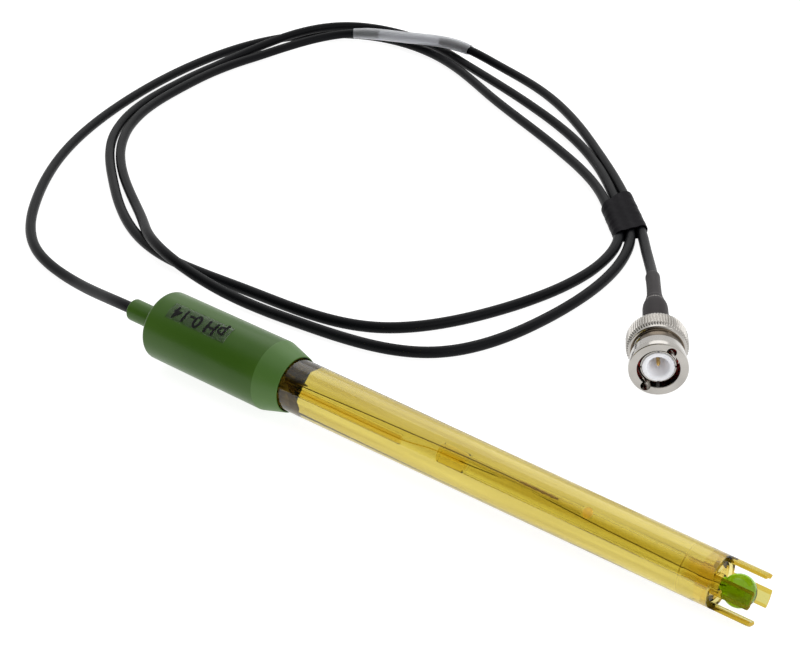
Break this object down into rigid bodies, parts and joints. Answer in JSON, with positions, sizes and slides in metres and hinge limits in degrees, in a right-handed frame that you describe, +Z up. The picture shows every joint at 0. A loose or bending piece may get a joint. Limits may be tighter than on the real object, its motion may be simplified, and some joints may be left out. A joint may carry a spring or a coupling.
{
  "type": "ph electrode",
  "caption": "Combination pH electrode with an amber guarded body, green cap, coiled black lead and a bayonet plug.",
  "frame": {"origin": "on the table, under the middle of the electrode's own box, without its lead and plug", "axes": "+X along the electrode from cap to tip, +Z up, +Y towards the side where the lead and plug lie"},
  "size_m": [0.2715, 0.2011, 0.017],
  "materials": {
    "amber_plastic": "clear amber polycarbonate",
    "green_plastic": "moulded green plastic",
    "green_glass": "green-tinted sensing glass",
    "clear_glass": "clear glass",
    "clear_sleeve": "clear heat-shrink film",
    "white_label": "white paper label",
    "black_jacket": "black cable jacket",
    "boot_rubber": "black heat-shrink rubber",
    "dark_potting": "dark potting compound",
    "silver_wire": "silver wire coated with silver chloride",
    "junction_felt": "porous junction",
    "nickel": "nickel plate on brass",
    "gold": "gold plate",
    "white_insulator": "white insulator plastic",
    "red_gasket": "red silicone"
  },
  "bodies": {
    "electrode": {"body_tube": "amber_plastic", "end_plug": "amber_plastic", "ph_bulb": "green_glass", "glass_stem": "clear_glass", "stem_stopper": "clear_glass", "measuring_wire": "silver_wire", "wire_sleeve": "clear_sleeve", "reference_tube": "clear_glass", "reference_wire": "silver_wire", "reference_element": "silver_wire", "inner_junction": "junction_felt", "outer_junction": "junction_felt", "potting": "dark_potting", "cap": "green_plastic", "cap_label": "clear_sleeve", "cap_seal": "boot_rubber", "cable_clamp": "nickel", "cable_core": "white_insulator", "core_splice": "clear_sleeve", "shield_splice": "clear_sleeve", "lead": "black_jacket", "label_sleeve": "clear_sleeve", "id_label": "white_label", "cable_tie": "boot_rubber", "boot": "boot_rubber", "crimp_ferrule": "nickel", "plug_body": "nickel", "outer_contact": "nickel", "insulator": "white_insulator", "centre_pin": "gold", "gasket": "red_gasket", "wave_washer": "nickel", "retaining_ring": "nickel"},
    "spring_washer": {"thrust_washer": "nickel"},
    "coupling": {"coupling_sleeve": "nickel"}
  },
  "joints": [
    {"name": "coupling_pull", "type": "slide", "parent": "electrode", "child": "spring_washer", "axis": [0.5373, -0.8434, 0], "range_m": [0, 0.0006], "stiffness_N_per_m": 3000, "springref_m": -0.001, "deforming": ["wave_washer"]},
    {"name": "coupling_turn", "type": "hinge", "parent": "spring_washer", "child": "coupling", "pos_m": [0.02685, 0.05523, 0.00713], "axis": [0.5373, -0.8434, 0], "continuous": true}
  ]
}
